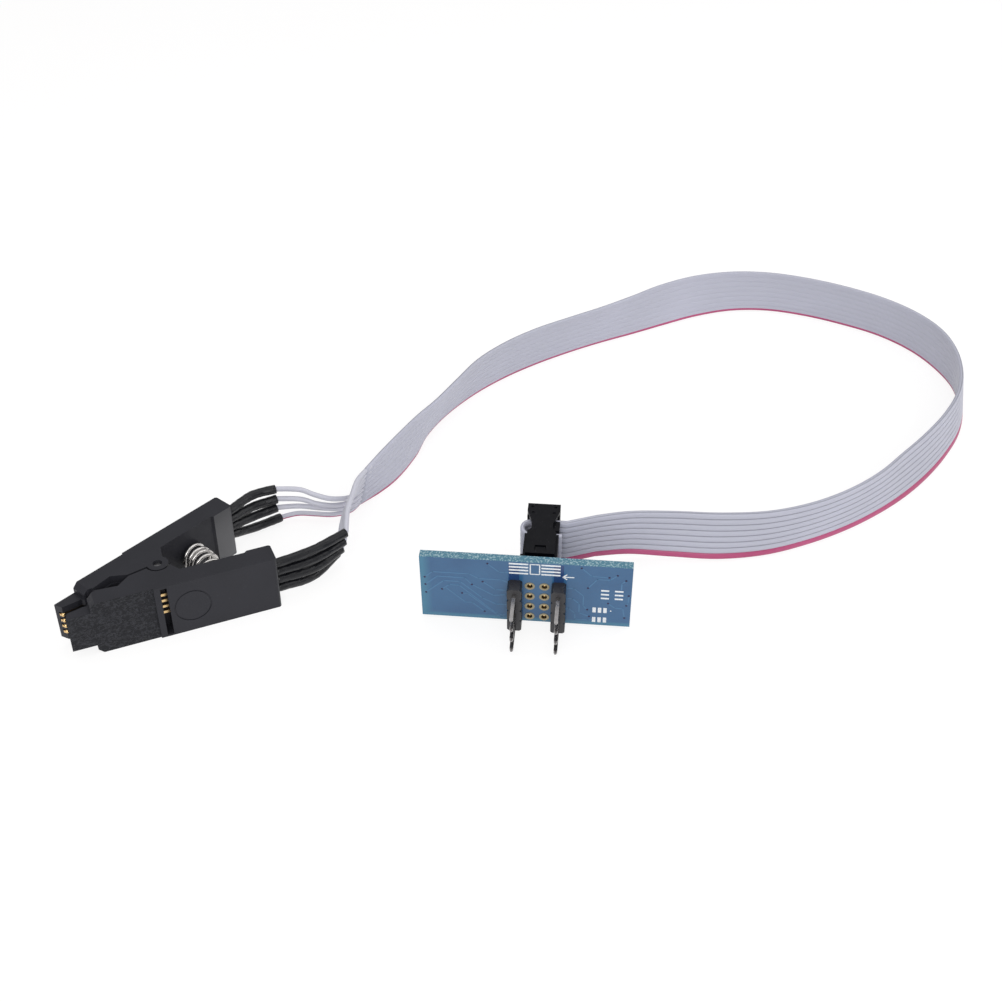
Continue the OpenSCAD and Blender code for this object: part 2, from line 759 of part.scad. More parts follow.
// Strain relief: a bridge over the folded ribbon, and two waisted arms that
// run down the socket's ends and snap over its lugs
module strain_relief() {
    top_y = relief_y + relief_h;
    foot_y = socket_y + 0.6;
    waist_y = cover_y + 0.4;
    color("#26272b")
        on_board()
            difference() {
                union() {
                    back(relief_y, relief_h)
                        square([socket_w - 0.2, socket_len], center = true);
                    for (s = [-1, 1])
                        translate([0, 0, s > 0 ? socket_len / 2 + 0.05 : -socket_len / 2 - 0.05 - arm_t])
                            linear_extrude(arm_t)
                                polygon([
                                    [-2.95, top_y], [-2.95, relief_y + 0.8],
                                    [-1.9, waist_y + 0.8], [-1.9, waist_y - 0.6],
                                    [-2.6, waist_y - 1.6], [-2.6, foot_y],
                                    [2.6, foot_y], [2.6, waist_y - 1.6],
                                    [1.9, waist_y - 0.6], [1.9, waist_y + 0.8],
                                    [2.95, relief_y + 0.8], [2.95, top_y]]);
                    // Root of each arm, joined to the bridge
                    back(relief_y + 1, relief_h - 1)
                        square([socket_w - 0.2, socket_len + 0.2], center = true);
                }
                for (s = [-1, 1])
                    translate([-1, socket_y + 1.4, s * (socket_len / 2 + 0.5) - 0.6])
                        cube([2, 1.2, 1.2]);
                // Dimples in the arms
                for (x = [-2, 2], y = [relief_y + 0.3, relief_y + 1.8], s = [-1, 1])
                    translate([x * (y > relief_y + 1 ? 1.05 : 0.95), y,
                        s * (socket_len / 2 + 0.05 + arm_t) - 0.15])
                        cylinder(h = 0.3, r = 0.3, $fn = 20);
                // Saddle over the ribbon
                translate([-socket_w, relief_y - 1, -ribbon_w / 2 - 0.1])
                    cube([2 * socket_w, 1.2, ribbon_w + 0.2]);
            }
}

// ---- Adapter board ---------------------------------------------------------

hole_spots = concat(
    [for (x = [-0.5, 0.5], z = grid_rows) [x * pin_pitch, z]],
    [for (x = [-0.5, 0.5], z = grid_rows) [x * row_span, z]]);

module adapter_board() {
    color("#3f78a5")
        on_board()
            difference() {
                back(0, board_t)
                    translate([grid_to_end - board_len, grid_rows[0] - grid_to_edge])
                        square([board_len, board_w]);
                for (spot = hole_spots)
                    translate([spot[0], -1, spot[1]])
                        rotate([-90, 0, 0])
                            cylinder(h = board_t + 2, d = drill_d, $fn = 32);
            }
}

// Gold eyelets: a thin barrel through the board with a ring on its front face
module plated_holes() {
    foil = 0.06;
    barrel_r = drill_d / 2;
    color("goldenrod")
        on_board()
            for (k = [0:7])
                translate([hole_spots[k][0], -foil, hole_spots[k][1]])
                    rotate([-90, 0, 0])
                        rotate_extrude($fn = 32)
                            polygon([
                                [barrel_r - foil, 0], [ring_d / 2, 0], [ring_d / 2, foil],
                                [barrel_r, foil], [barrel_r, foil + board_t],
                                [barrel_r - foil, foil + board_t]]);
}

// Square pin with pointed ends, from y = from to y = to
module post(from, to) {
    tip = 0.5;
    half = post_w / 2;
    rotate([0, 0, 90])
        translate([from, 0, 0])
            intersection() {
                translate([0, 0, -half])
                    linear_extrude(post_w)
                        polygon([[0, -half / 2], [0, half / 2], [tip, half],
                            [to - from - tip, half], [to - from, half / 2],
                            [to - from, -half / 2], [to - from - tip, -half], [tip, -half]]);
                translate([0, half, 0])
                    rotate([90, 0, 0])
                        linear_extrude(post_w)
                            polygon([[0, -half / 2], [0, half / 2], [tip, half],
                                [to - from - tip, half], [to - from, half / 2],
                                [to - from, -half / 2], [to - from - tip, -half], [tip, -half]]);
            }
}

// Row of header plastic: one notched block for each pin, from y = from
module header_row(from, columns) {
    nick = 0.35;
    difference() {
        back(from, header_t)
            square([columns * (pin_pitch - 0.03), 4 * pin_pitch], center = true);
        for (s = [-1, 1], z = [-2:2])
            back(from - 1, header_t + 2)
                translate([s * columns * (pin_pitch - 0.03) / 2, z * pin_pitch])
                    rotate(45)
                        square(nick * sqrt(2), center = true);
        for (x = [0:columns - 1], z = grid_rows)
            back(from - 1, header_t + 2)
                translate([(x - (columns - 1) / 2) * pin_pitch, z])
                    square(post_w + 0.02, center = true);
    }
}

module cable_header() {
    color("#1e1f22")
        on_board() header_row(board_t, 2);
}

module cable_pins() {
    color("goldenrod")
        on_board()
            for (x = [-0.5, 0.5], z = grid_rows)
                translate([x * pin_pitch, 0, z])
                    post(0.3, board_t + header_t + post_in);
}

module outer_header(s) {
    color("#2a2b2e")
        on_board()
            translate([s * row_span / 2, 0, 0])
                header_row(-header_t, 1);
}

module outer_pins(s) {
    color("silver")
        on_board()
            for (z = grid_rows)
                translate([s * row_span / 2, 0, z])
                    post(-header_t - post_out, board_t + post_back);
}

module left_header() { outer_header(-1); }
module right_header() { outer_header(1); }
module left_pins() { outer_pins(-1); }
module right_pins() { outer_pins(1); }

// ---- Nodes -----------------------------------------------------------------

left_lever();
right_lever();
hinge_pin();
spring();
for (side = ["left", "right"], i = [1:4]) {
    contact_of(side, i);
    sleeve(side, i);
    strand(side, i);
}
ribbon_cable();
socket_body();
socket_cover();
strain_relief();
socket_contacts();
adapter_board();
plated_holes();
cable_header();
cable_pins();
left_header();
left_pins();
right_header();
right_pins();
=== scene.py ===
import json
import math
import random

import bmesh
import bpy
from mathutils import Matrix, Vector


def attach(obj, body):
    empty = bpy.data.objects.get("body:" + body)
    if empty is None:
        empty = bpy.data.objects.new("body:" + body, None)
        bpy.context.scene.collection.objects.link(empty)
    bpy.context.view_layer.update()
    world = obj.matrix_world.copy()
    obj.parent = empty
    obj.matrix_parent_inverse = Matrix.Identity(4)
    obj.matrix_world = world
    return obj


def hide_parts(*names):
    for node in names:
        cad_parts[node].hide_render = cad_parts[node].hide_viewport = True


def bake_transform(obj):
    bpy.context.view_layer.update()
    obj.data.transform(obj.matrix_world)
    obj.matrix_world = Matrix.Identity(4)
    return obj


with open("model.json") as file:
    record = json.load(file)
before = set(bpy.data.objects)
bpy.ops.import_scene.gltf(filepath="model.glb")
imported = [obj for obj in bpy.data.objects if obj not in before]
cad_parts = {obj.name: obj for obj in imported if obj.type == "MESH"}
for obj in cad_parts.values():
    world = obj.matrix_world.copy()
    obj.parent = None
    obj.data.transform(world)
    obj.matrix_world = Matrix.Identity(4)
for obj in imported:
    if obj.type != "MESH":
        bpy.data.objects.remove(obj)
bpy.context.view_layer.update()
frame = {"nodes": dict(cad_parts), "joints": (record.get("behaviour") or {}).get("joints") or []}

MM = 0.001
LEFT, RIGHT, ADAPTER = "left_lever_body", "right_lever_and_cable", "adapter"
hinge = next(j for j in frame["joints"] if j["name"] == "jaw_hinge")
# The foot of the hinge pin's axis, which every place in this script is counted from
PIN = Vector(hinge["pos_m"])
PIN.z = 0.0


def at(x, y, z):
    """A point given in millimetres from the hinge pin's foot."""
    return PIN + Vector((x, y, z)) * MM


# ---- Camera ----------------------------------------------------------------

CAMERA_PLACE = (-68.7, -194.0, 171.8)
CAMERA_TOWARD = Vector((0.4763, 0.6437, -0.5990))

camera = bpy.data.objects.new("camera", bpy.data.cameras.new("camera"))
bpy.context.scene.collection.objects.link(camera)
bpy.context.scene.camera = camera
camera.data.sensor_width = 36.0
camera.data.lens = 52.1
camera.data.clip_start, camera.data.clip_end = 0.01, 20.0
camera.location = at(*CAMERA_PLACE)
camera.rotation_mode = "QUATERNION"
camera.rotation_quaternion = CAMERA_TOWARD.to_track_quat("-Z", "Y")

# ---- Sizes and routes, in millimetres, the same as in the part's source ----

PITCH, CONDUCTORS = 1.27, 8
MIDDLE = (CONDUCTORS - 1) / 2
RIBBON_T, HALF_RIBBON = 0.9, CONDUCTORS * PITCH / 2
STRAND_R = 0.5
HALF_ANGLE = math.radians(13.5)
# A lever's plan: u runs back from the pin's axis, v runs inward from the outer face
WEB_H, HANDLE_LEN, END_BLOCK_LEN = 7.0, 19.5, 4.3
RECESS_U, RECESS_R = 4.0, 3.3
SLEEVE_V, SLEEVE_GRIP, SLEEVE_PITCH = 2.25, 2.0, 1.85
POCKET_U = HANDLE_LEN - SLEEVE_GRIP
SPRING_U, SPRING_V, SPRING_D, SPRING_WIRE, SPRING_TURNS = 9.4, 4.0, 5.5, 0.6, 7
MID_Z = 5.5
# Steps that the curves take between two points of a route
RIBBON_STEPS, WIRE_STEPS = 7, 10


def spline(route, steps):
    """A smooth curve through all of the route's points, as the part's source makes it."""
    route = [tuple(p) for p in route]
    last = len(route) - 1
    made = []
    for k in range(last):
        p0, p1 = route[max(k - 1, 0)], route[k]
        p2, p3 = route[k + 1], route[min(k + 2, last)]
        for s in range(steps):
            t = s / steps
            made.append(tuple(
                0.5 * (2 * b + (c - a) * t + (2 * a - 5 * b + 4 * c - d) * t * t
                       + (3 * b - a - 3 * c + d) * t ** 3)
                for a, b, c, d in zip(p0, p1, p2, p3)))
    return made + [route[last]]


def clip_xy(u, v):
    """A point of the left lever's plan, in the clip's plan counted from the pin."""
    return (u * math.cos(HALF_ANGLE) - (WEB_H - v) * math.sin(HALF_ANGLE),
            u * math.sin(HALF_ANGLE) + (WEB_H - v) * math.cos(HALF_ANGLE))


def level(degrees):
    """A level unit vector, turned from +X by an angle."""
    t = math.radians(degrees)
    return Vector((math.cos(t), math.sin(t), 0))


# Points that the sleeves, strands and ribbon pass through. A fourth value is the ribbon's lean.
SLEEVE_ENDS = {
    "left": [(29.6, 10.3, 1.3), (28.6, 9.6, 4.5), (28.8, 9.6, 6.5), (28.9, 9.9, 8.6)],
    "right": [(31.8, -6.9, 2.4), (31.9, -8.5, 4.5), (32.2, -9.2, 6.6), (32.5, -9.5, 8.6)]}
SLEEVE_BENDS = {
    "left": [(24, 10.5, 1.3), (23.6, 10.3, 4.1), (24, 10.5, 6.2), (24.3, 10.9, 8.5)],
    "right": [(25.4, -9, 1.6), (25.5, -9.8, 4), (25.5, -10, 6.2), (25.5, -10, 8.3)]}
STRAND_BENDS = {
    "left": [
        [(32.8, 9.3, 1.4), (35.4, 7, 1.5), (38, 5, 1.4), (41.5, 4.6, 1)],
        [(32.4, 7.9, 4.2), (35.6, 5.8, 3.6), (38.6, 4.6, 2.8), (41.8, 4.2, 2.2)],
        [(32.7, 7.6, 5.9), (35, 5.4, 5.1), (38, 4.2, 4.1), (41.6, 4, 3.4)],
        [(33, 8.2, 7.7), (35, 6, 6.9), (37.6, 4.3, 5.8), (41.4, 3.9, 4.7)]],
    "right": [
        [(33.6, -5, 3.4), (35.8, -2.4, 4.6), (38.6, 0.4, 5.4), (41.8, 3, 5.8)],
        [(33.7, -6.2, 5.4), (36, -3.2, 6.4), (38.8, -0.2, 6.9), (42, 2.6, 7)],
        [(33.8, -7, 7.2), (36, -3.9, 7.8), (38.8, -1, 8.2), (42, 2, 8.3)],
        [(34, -7.4, 8.9), (36.2, -4.3, 9.2), (38.9, -1.5, 9.4), (42.1, 1.7, 9.6)]]}
RIBBON_ROUTE = [
    (45, 4.9, 5.1, -14), (54, 8.4, 5.2, -2), (62.4, 12.8, 5.2, -5), (69.4, 16.9, 5.2, -17),
    (77.2, 20.8, 5.2, -18), (86, 24.3, 5.2, -12), (95, 26.2, 5.2, -9), (104, 26.8, 5.2, -8),
    (113, 26.4, 5.2, -9), (122, 25.6, 5.2, -8), (131, 24.8, 5.2, -1), (140, 24.2, 5.2, 8),
    (149, 22.7, 5.2, 8), (157.4, 19.4, 5.2, 2), (164.3, 14, 5.2, -2), (169.6, 6.8, 5.2, -3),
    (173.7, -1.4, 5.2, -3), (176.6, -10, 5.2, -4), (177.4, -19, 5.2, -3),
    (175.8, -27.6, 5.2, -3), (171.9, -35.4, 5.2, -8), (165.8, -42, 5.2, -9),
    (158.4, -47.2, 5.2, -9), (150.1, -50.8, 5.2, -9), (141.4, -53.4, 5.2, -10),
    (132.6, -55.2, 5.2, -9), (123.6, -56.4, 5.2, -2), (114.6, -56.4, 5.2, 2),
    (105.8, -55.1, 5.2, 3), (97.5, -52.4, 5.2, 0), (89.7, -48, 5.4, -4),
    (82.6, -42.6, 5.8, -2), (76.2, -38.2, 6.3, 3), (70.1, -35.7, 6.8, 6)]
# Heading of the ribbon where the strands join it, in degrees from +X
RIBBON_HEADING = 19.0

# The adapter board's own frame: x along it, y back through it, z up it
GRID = Vector((51, -42.8, 5.65))
BOARD_TURN = (Matrix.Rotation(math.radians(-41.8), 3, "Z")
              @ Matrix.Rotation(math.radians(6), 3, "X"))


def board(x, y, z):
    """A point given in millimetres in the board's frame, from the middle of its pin grid."""
    return at(*(GRID + BOARD_TURN @ Vector((x, y, z))))


BOARD_T, BOARD_LEFT, BOARD_BOTTOM = 1.6, -20.4, -5.08
HEADER_T, PLUG_GAP = 2.54, 1.0
SOCKET_H, SOCKET_W, COVER_H, RIBBON_PLAY, RIBBON_TAIL = 6.2, 6.1, 2.4, 0.05, 0.5
SOCKET_Y = BOARD_T + HEADER_T + PLUG_GAP
# The ribbon's depth under the socket's cover and, once folded back, over it
UNDER_Y = SOCKET_Y + SOCKET_H + RIBBON_PLAY + RIBBON_T / 2
OVER_Y = UNDER_Y + RIBBON_T + COVER_H + 2 * RIBBON_PLAY
FOLD_X, FOLD_R, FOLD_STEPS = -1.9, (OVER_Y - UNDER_Y) / 2, 14
# Distance between the ribbon's frames where the socket holds it straight
HELD_STEP = 1.5


def ribbon_up(lean, toward):
    """Direction across the ribbon from its marked edge, for a lean and a heading in degrees."""
    a, b = math.radians(lean), math.radians(toward)
    return Vector((-math.sin(a) * math.sin(b), math.sin(a) * math.cos(b), math.cos(a)))


def ribbon_frames():
    """(middle, direction up the ribbon, direction out of its left face) along it, in metres."""
    made = []
    path = spline(RIBBON_ROUTE, RIBBON_STEPS)
    last = len(path) - 1
    for k, p in enumerate(path):
        a, b = path[max(k - 1, 0)], path[min(k + 1, last)]
        toward = math.degrees(math.atan2(b[1] - a[1], b[0] - a[0]))
        if k < RIBBON_STEPS:
            toward = RIBBON_HEADING + (toward - RIBBON_HEADING) * k / RIBBON_STEPS
        up = ribbon_up(p[3], toward)
        made.append((at(*p[:3]), up, -level(toward).cross(up).normalized()))
    # From here on (x, y, heading) in the board's frame: in over the cover, round the fold and out
    held = [(SOCKET_W / 2 + 1.2, OVER_Y, 176), (SOCKET_W / 2, OVER_Y, 180)]
    held += [(SOCKET_W / 2 - HELD_STEP * k, OVER_Y, 180) for k in (1, 2)]
    held += [(FOLD_X - FOLD_R * math.sin(t), UNDER_Y + FOLD_R * (1 + math.cos(t)),
              180 + math.degrees(t)) for t in [math.pi * k / FOLD_STEPS for k in range(FOLD_STEPS + 1)]]
    held += [(FOLD_X + HELD_STEP * k, UNDER_Y, 360) for k in (1, 2, 3)]
    held += [(SOCKET_W / 2 + RIBBON_TAIL, UNDER_Y, 360)]
    upright = Vector((0, 0, 1))
    for x, y, toward in held:
        out = -level(toward).cross(upright)
        made.append((board(x, y, 0), BOARD_TURN @ upright, BOARD_TURN @ out))
    return made


def conductor_start(k):
    """Middle of a conductor at the ribbon's first edge, from the pin's foot."""
    return (Vector(RIBBON_ROUTE[0][:3])
            + (k - MIDDLE) * PITCH * ribbon_up(RIBBON_ROUTE[0][3], RIBBON_HEADING))


# ---- Mesh helpers ----------------------------------------------------------

def mesh_object(name, verts, faces, materials, face_material=None, smooth=True):
    """A new object in the scene, from points in metres and lists of their numbers."""
    mesh = bpy.data.meshes.new(name)
    mesh.from_pydata([tuple(v) for v in verts], [], faces)
    for m in materials:
        mesh.materials.append(m)
    if face_material:
        mesh.polygons.foreach_set("material_index", face_material)
    mesh.polygons.foreach_set("use_smooth", [smooth] * len(faces))
    mesh.validate()
    mesh.update()
    obj = bpy.data.objects.new(name, mesh)
    bpy.context.scene.collection.objects.link(obj)
    return obj


def skin(rings):
    """Quads between rings that have the same number of points, with a cap on each end."""
    m = len(rings[0])
    verts = [p for ring in rings for p in ring]
    faces = [[k * m + j, k * m + (j + 1) % m, (k + 1) * m + (j + 1) % m, (k + 1) * m + j]
             for k in range(len(rings) - 1) for j in range(m)]
    faces.append(list(range(m))[::-1])
    faces.append([(len(rings) - 1) * m + j for j in range(m)])
    return verts, faces


def tube_rings(path, radii, sides):
    """Rings round a path, carried along without twist. radii holds one radius per point."""
    rings = []
    side = None
    for k, p in enumerate(path):
        ahead = (path[min(k + 1, len(path) - 1)] - path[max(k - 1, 0)]).normalized()
        if side is None:
            side = ahead.cross(Vector((0, 0, 1))).normalized()
        side = (side - ahead * side.dot(ahead)).normalized()
        up = side.cross(ahead)
        rings.append([p + radii[k] * (math.cos(t) * side + math.sin(t) * up)
                      for t in [2 * math.pi * j / sides for j in range(sides)]])
    return rings


# ---- Materials -------------------------------------------------------------

class Look:
    """A node material on a Principled shader, whose patterns use object coordinates."""

    def __init__(self, name, colour, rough, metallic=0.0, **inputs):
        self.mat = bpy.data.materials.new(name)
        self.mat.use_nodes = True
        self.tree = self.mat.node_tree
        self.bsdf = self.tree.nodes["Principled BSDF"]
        self.bsdf.inputs["Base Color"].default_value = (*colour, 1)
        self.bsdf.inputs["Roughness"].default_value = rough
        self.bsdf.inputs["Metallic"].default_value = metallic
        for key, value in inputs.items():
            self.bsdf.inputs[key.replace("_", " ")].default_value = value
        self.place = self.tree.nodes.new("ShaderNodeTexCoord").outputs["Object"]
        self.last_bump = None

    def node(self, kind, inputs=None, **settings):
        made = self.tree.nodes.new(kind)
        for key, value in settings.items():
            setattr(made, key, value)
        for key, value in (inputs or {}).items():
            if isinstance(value, bpy.types.NodeSocket):
                self.tree.links.new(value, made.inputs[key])
            else:
                made.inputs[key].default_value = value
        return made

    def stretched(self, scale, place=None):
        return self.node("ShaderNodeVectorMath", {0: place or self.place, 1: scale},
                         operation="MULTIPLY").outputs[0]

    def noise(self, per_mm, detail=2.0, distortion=0.0, place=None, rough=0.5):
        return self.node("ShaderNodeTexNoise", {
            "Vector": place or self.place, "Scale": per_mm / MM, "Detail": detail,
            "Roughness": rough, "Distortion": distortion}).outputs["Fac"]

    def math(self, operation, a, b=0.0, clamp=False):
        return self.node("ShaderNodeMath", {0: a, 1: b}, operation=operation,
                         use_clamp=clamp).outputs[0]

    def along(self, origin, axis):
        """Distance of the shaded point from origin along axis, in metres."""
        off = self.node("ShaderNodeVectorMath", {0: self.place, 1: tuple(origin)},
                        operation="SUBTRACT").outputs[0]
        return self.node("ShaderNodeVectorMath", {0: off, 1: tuple(axis)},
                         operation="DOT_PRODUCT").outputs["Value"]

    def facing(self, axis):
        """How far the shaded face looks along axis: 1 when it faces it squarely."""
        normal = self.tree.nodes.new("ShaderNodeTexCoord").outputs["Normal"]
        return self.node("ShaderNodeVectorMath", {0: normal, 1: tuple(axis)},
                         operation="DOT_PRODUCT").outputs["Value"]

    def mapped(self, value, low, high, to_low=0.0, to_high=1.0):
        return self.node("ShaderNodeMapRange", {
            "Value": value, "From Min": low, "From Max": high,
            "To Min": to_low, "To Max": to_high}).outputs["Result"]

    def mix(self, factor, a, b):
        """Colour between a and b, each of which is a socket or a list of three numbers."""
        a, b = (c if isinstance(c, bpy.types.NodeSocket) else (*c, 1) for c in (a, b))
        return self.node("ShaderNodeMix", {0: factor, 6: a, 7: b}, data_type="RGBA").outputs[2]

    def colour(self, socket):
        self.tree.links.new(socket, self.bsdf.inputs["Base Color"])

    def rough(self, socket):
        self.tree.links.new(socket, self.bsdf.inputs["Roughness"])

    def bump(self, height, depth_mm, strength=1.0):
        inputs = {"Height": height, "Distance": depth_mm * MM, "Strength": strength}
        if self.last_bump:
            inputs["Normal"] = self.last_bump
        self.last_bump = self.node("ShaderNodeBump", inputs).outputs["Normal"]
        self.tree.links.new(self.last_bump, self.bsdf.inputs["Normal"])


def plastic(name, colour, rough, grain, dust, gloss=0.22):
    """Moulded plastic: fine grain, slight flow shading and a little pale dust."""
    look = Look(name, colour, rough, Specular_IOR_Level=gloss)
    broad = look.noise(0.12, 3.0)
    specks = look.math("GREATER_THAN", look.noise(4.5, 1.0), 0.74)
    base = look.mix(broad, [c * 0.8 for c in colour], [c * 1.25 for c in colour])
    look.colour(look.mix(look.math("MULTIPLY", specks, dust), base, (0.16, 0.16, 0.17)))
    look.rough(look.mapped(look.noise(0.6, 4.0), 0.3, 0.7, rough - 0.07, rough + 0.1))
    look.bump(look.noise(6.0, 2.0), grain)
    return look


# Limits of the leather grain: how far forward of the pin it starts, and how deep its face lies
GRAIN_U, GRAIN_V = -2.27, 0.36
# The frosted field stops inside the recess's ring and reaches no deeper than this
FROST_R, FROST_V = RECESS_R - 0.25, 0.2
# Distance behind the pin from which the handle is worn smooth
WORN_U = 8


def lever_look(side):
    """Lever plastic: leather grain on the front face with painted highlights on its crease lines, a
    frosted round recess, and a painted reflection on the end block's inner face.
    """
    sign = 1 if side == "left" else -1
    origin = at(-WEB_H * math.sin(HALF_ANGLE), sign * WEB_H * math.cos(HALF_ANGLE), MID_Z)
    along_u = (math.cos(HALF_ANGLE), sign * math.sin(HALF_ANGLE), 0)
    inward = (math.sin(HALF_ANGLE), -sign * math.cos(HALF_ANGLE), 0)
    colour = (0.0215, 0.0217, 0.0272)
    look = plastic(f"lever_plastic_{side}", colour, 0.42, 0.004, 0.12)
    u = look.along(origin, along_u)
    v = look.along(origin, inward)
    z = look.along(origin, (0, 0, 1))
    front = look.math("MULTIPLY", look.math("LESS_THAN", u, GRAIN_U * MM),
                      look.math("LESS_THAN", v, GRAIN_V * MM))
    leather = look.noise(1.35, 2.0, 0.5, look.stretched((0.75, 0.75, 1.0)), 0.6)
    crease = look.math("ABSOLUTE", look.math("SUBTRACT", leather, 0.5))
    folds = look.mapped(crease, 0.0, 0.085, 1.0, 0.0)
    smooth = look.bsdf.inputs["Base Color"].links[0].from_socket
    # Painted highlight: the grain's crease lines are coloured lighter than the dark face between them,
    # as though they caught the light; the relief itself is the bump below
    grain_painted_highlights = look.mix(folds, (0.0085, 0.009, 0.012), (0.029, 0.030, 0.037))
    look.colour(look.mix(front, smooth, grain_painted_highlights))
    look.bump(look.math("MULTIPLY", front, folds), 0.12, 0.9)
    # Frosted field inside the round recess
    off = look.math("SUBTRACT", u, RECESS_U * MM)
    far = look.math("SQRT", look.math("ADD", look.math("MULTIPLY", off, off),
                                      look.math("MULTIPLY", z, z)))
    disc = look.math("MULTIPLY", look.math("LESS_THAN", far, FROST_R * MM),
                     look.math("LESS_THAN", v, FROST_V * MM))
    look.bump(look.math("MULTIPLY", disc, look.noise(5.5, 3.0)), 0.05, 0.8)
    # Painted reflection: the end block's inner face is coloured pale grey, paler towards the bottom,
    # standing in for the pale table mirrored in it
    block_u = HANDLE_LEN - END_BLOCK_LEN + 0.05
    painted_reflection_mask = look.math("MULTIPLY", look.math("GREATER_THAN", u, block_u * MM),
                     look.math("GREATER_THAN", look.facing(inward), 0.8))
    plain = look.bsdf.inputs["Base Color"].links[0].from_socket
    pale = look.mix(look.mapped(z, -5 * MM, 5 * MM), (0.17, 0.17, 0.178), (0.075, 0.075, 0.08))
    look.colour(look.mix(painted_reflection_mask, plain, pale))
    # Worn sheen where fingers press the handle
    worn = look.math("MULTIPLY", look.math("GREATER_THAN", u, WORN_U * MM), look.noise(0.35, 4.0))
    base = look.bsdf.inputs["Roughness"].links[0].from_socket
    look.rough(look.math("SUBTRACT", base, look.math("MULTIPLY", worn, 0.08)))
    return look.mat


def metal(name, colour, rough, streak=(1, 1, 1), depth=0.003):
    """Bare or plated metal: patchy tone and fine marks, drawn out along the streak's low axes."""
    look = Look(name, colour, rough, 1.0)
    fine = look.noise(3.0, 3.0, 0.2, look.stretched(streak))
    look.rough(look.mapped(fine, 0.3, 0.7, rough * 0.75, rough * 1.35))
    look.colour(look.mix(look.noise(0.7, 2.0), [c * 0.86 for c in colour], colour))
    look.bump(fine, depth, 0.5)
    return look.mat


def sleeve_look(seed):
    """Glossy shrink tube whose wrinkles run mostly along it. Each seed shifts the pattern."""
    look = Look(f"shrink_sleeve_{seed}", (0.004, 0.0043, 0.006), 0.32, Specular_IOR_Level=0.4)
    place = look.node("ShaderNodeVectorMath", {0: look.place, 1: (seed * 0.013, 0.007, 0)},
                      operation="ADD").outputs[0]
    wrinkle = look.noise(1.4, 3.0, 0.8, look.stretched((0.22, 0.8, 1.0), place))
    look.bump(wrinkle, 0.22, 0.85)
    look.bump(look.noise(7.0, 2.0, 0.0, place), 0.01, 0.5)
    look.colour(look.mix(wrinkle, (0.0028, 0.003, 0.0045), (0.0065, 0.007, 0.0105)))
    look.rough(look.mapped(look.noise(0.9, 3.0, 0.0, place), 0.3, 0.7, 0.22, 0.42))
    return look.mat


def pvc(name, colour, dark):
    """Soft cable PVC: faint mottling, satin sheen."""
    look = Look(name, colour, 0.42, 0.0, Subsurface_Weight=0.04)
    look.bsdf.inputs["Subsurface Radius"].default_value = (0.0006, 0.0006, 0.0008)
    look.colour(look.mix(look.mapped(look.noise(0.045, 2.0), 0.35, 0.65), dark, colour))
    look.rough(look.mapped(look.noise(1.2, 3.0), 0.3, 0.7, 0.36, 0.5))
    look.bump(look.noise(0.8, 2.0), 0.002, 0.3)
    return look.mat


def board_look():
    """Blue solder mask on both faces, pale laminate on the edges."""
    look = Look("board_mask", (0.024, 0.10, 0.22), 0.3, 0.0, Coat_Weight=0.25)
    depth = look.along(board(0, 0, 0), BOARD_TURN @ Vector((0, 1, 0)))
    mask_t = 0.012
    edge = look.math("MULTIPLY", look.math("GREATER_THAN", depth, mask_t * MM),
                     look.math("LESS_THAN", depth, (BOARD_T - mask_t) * MM))
    mottle = look.noise(0.09, 3.0)
    mask = look.mix(look.mapped(mottle, 0.35, 0.65), (0.020, 0.085, 0.20), (0.028, 0.112, 0.24))
    # Paler mask along the lower and left rims
    bottom = look.along(board(0, 0, BOARD_BOTTOM), BOARD_TURN @ Vector((0, 0, 1)))
    left = look.along(board(BOARD_LEFT, 0, 0), BOARD_TURN @ Vector((1, 0, 0)))
    rim = look.math("MAXIMUM", look.mapped(bottom, 0.5 * MM, 1.1 * MM, 1.0, 0.0),
                    look.mapped(left, 0.6 * MM, 2.0 * MM, 1.0, 0.0), True)
    mask = look.mix(rim, mask, (0.038, 0.165, 0.27))
    weave = look.math("GREATER_THAN", look.noise(3.2, 1.0, 0.0, look.stretched((1, 1, 2.5))), 0.56)
    laminate = look.mix(weave, (0.055, 0.17, 0.24), (0.25, 0.38, 0.43))
    look.colour(look.mix(edge, mask, laminate))
    look.rough(look.mapped(edge, 0, 1, 0.3, 0.75))
    look.bump(look.noise(0.8, 3.0), 0.01, 0.5)
    return look.mat


LEVER_PLASTIC = {side: lever_look(side) for side in ("left", "right")}
SOCKET_PLASTIC = plastic("socket_plastic", (0.0034, 0.0036, 0.0055), 0.34, 0.004, 0.25, 0.12).mat
HEADER_PLASTIC = plastic("header_plastic", (0.017, 0.0165, 0.0195), 0.33, 0.006, 0.5, 0.6).mat
GOLD = metal("gold_plate", (0.86, 0.61, 0.30), 0.2)
DULL_GOLD = metal("gold_ring", (0.38, 0.33, 0.22), 0.4)
SPRING_STEEL = metal("spring_steel", (0.66, 0.64, 0.62), 0.24, (0.2, 0.2, 0.2), 0.001)
PIN_STEEL = metal("pin_steel", (0.30, 0.30, 0.31), 0.35)
TIN = metal("tin_plate", (0.28, 0.27, 0.27), 0.22, (1, 1, 0.3), 0.001)
GREY_PVC = pvc("ribbon_grey", (0.465, 0.47, 0.555), (0.435, 0.44, 0.515))
# Painted shade: a darker copy of the ribbon's grey PVC for the grooves between its lobes
GROOVE_SHADE_PVC = pvc("ribbon_groove_shade", (0.30, 0.305, 0.36), (0.27, 0.275, 0.33))
RED_PVC = pvc("ribbon_red", (0.46, 0.075, 0.19), (0.41, 0.06, 0.16))
# Painted highlight: the strands are the ribbon's own PVC, coloured lighter than the ribbon to stand in
# for the brighter light on them
STRAND_LIT_PVC = pvc("strand_lit_grey", (0.54, 0.54, 0.61), (0.50, 0.50, 0.57))
BOARD_MASK = board_look()


